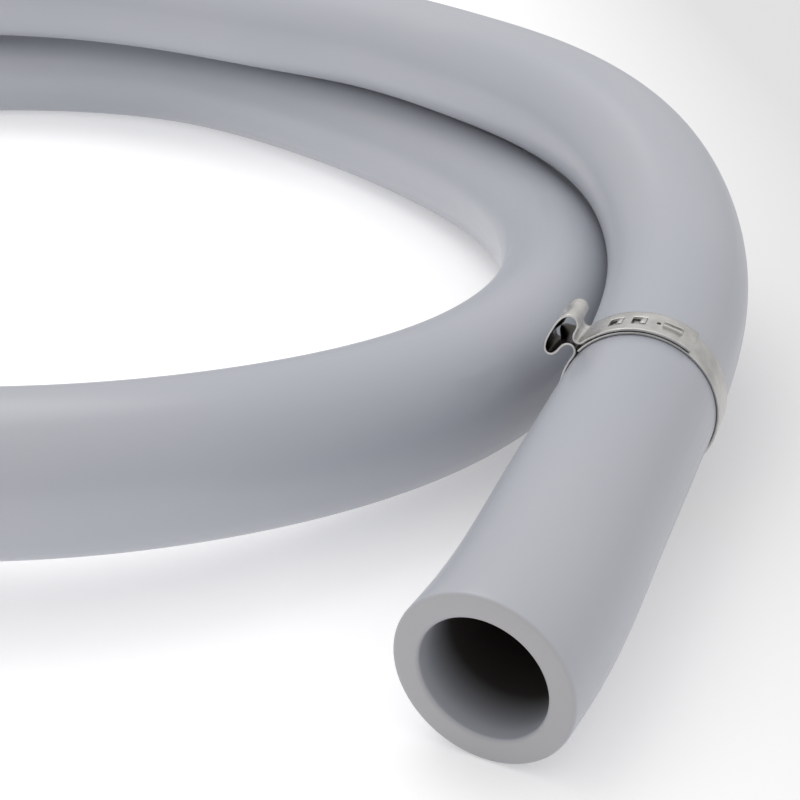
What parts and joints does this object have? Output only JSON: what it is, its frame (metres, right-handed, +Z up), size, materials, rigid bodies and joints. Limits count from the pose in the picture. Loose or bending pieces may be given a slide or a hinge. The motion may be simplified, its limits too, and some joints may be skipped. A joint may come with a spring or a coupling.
{
  "type": "sewer hose kit",
  "caption": "Smooth thick-walled grey drain hose lying in a loose coil, with a stainless ear clamp that slides along its straight end.",
  "frame": {"origin": "middle of the box of the coiled hose, on the surface that it lies on", "axes": "+Z up; the near mouth faces -Y; X is the coil's longest way across"},
  "size_m": [0.5178, 0.4195, 0.0733],
  "materials": {
    "hose_wall": "smooth flexible vinyl, semi-gloss, cool light grey",
    "clamp_steel": "bright cold-rolled stainless strip with sheared edges"
  },
  "bodies": {
    "hose": {"hose_near_end": "hose_wall", "hose_upper_turn": "hose_wall", "hose_left_turn": "hose_wall", "hose_front_turn": "hose_wall", "hose_lower_turn": "hose_wall", "hose_far_end": "hose_wall"},
    "clamp": {"ear_clamp": "clamp_steel"}
  },
  "joints": [
    {"name": "clamp_slide", "type": "slide", "parent": "hose", "child": "clamp", "axis": [-0.1235, 0.9884, 0.0886], "range_m": [-0.06, 0.003]}
  ]
}
